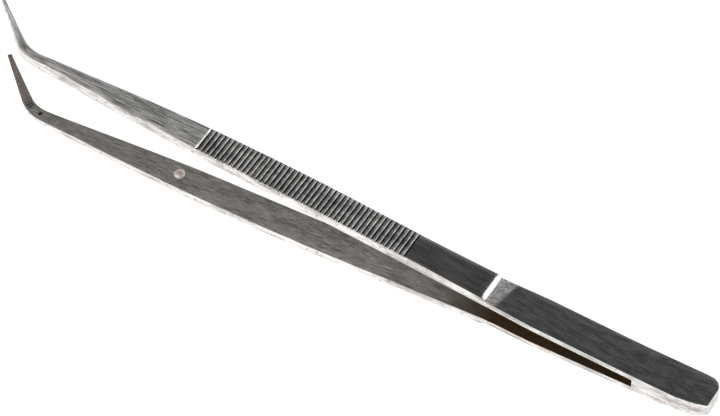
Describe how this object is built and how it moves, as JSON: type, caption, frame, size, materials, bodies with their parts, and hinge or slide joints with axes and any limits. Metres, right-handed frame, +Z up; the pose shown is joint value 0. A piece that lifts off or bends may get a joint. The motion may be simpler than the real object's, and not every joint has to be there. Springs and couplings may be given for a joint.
{
  "type": "tweezers",
  "caption": "Spring tweezers with ribbed grips and sideways-bent serrated tips, for gripping and placing small items.",
  "frame": {"origin": "middle of the underside of the whole object's box, on the surface the tweezers lie on", "axes": "+X towards the tail, -X towards the tips, +Y the side the tips are bent to, +Z up; the arms open along Z and the lower arm lies on z = 0"},
  "size_m": [0.1574, 0.0134, 0.0201],
  "materials": {
    "brushed_steel": "stainless steel with fine lines along the blade",
    "leaf_steel": "smooth rolled stainless steel",
    "ground_steel": "stainless steel ground by hand, slightly mottled",
    "polished_steel": "turned and polished stainless steel"
  },
  "bodies": {
    "tail": {"tail_spacer": "ground_steel", "upper_tail_leaf": "leaf_steel", "lower_tail_leaf": "leaf_steel"},
    "upper_arm": {"upper_arm": "brushed_steel", "guide_pin": "polished_steel"},
    "lower_arm": {"lower_arm": "brushed_steel", "stop_stud": "polished_steel"}
  },
  "joints": [
    {"name": "upper_arm_flex", "type": "hinge", "parent": "tail", "child": "upper_arm", "pos_m": [0.05177, -0.00306, 0.00524], "axis": [0, -1, 0], "range_deg": [0, 3.24], "stiffness_Nm_per_rad": 2},
    {"name": "lower_arm_flex", "type": "hinge", "parent": "tail", "child": "lower_arm", "pos_m": [0.05152, -0.00306, 0.00136], "axis": [0, 1, 0], "range_deg": [0, 3.24], "stiffness_Nm_per_rad": 2}
  ]
}
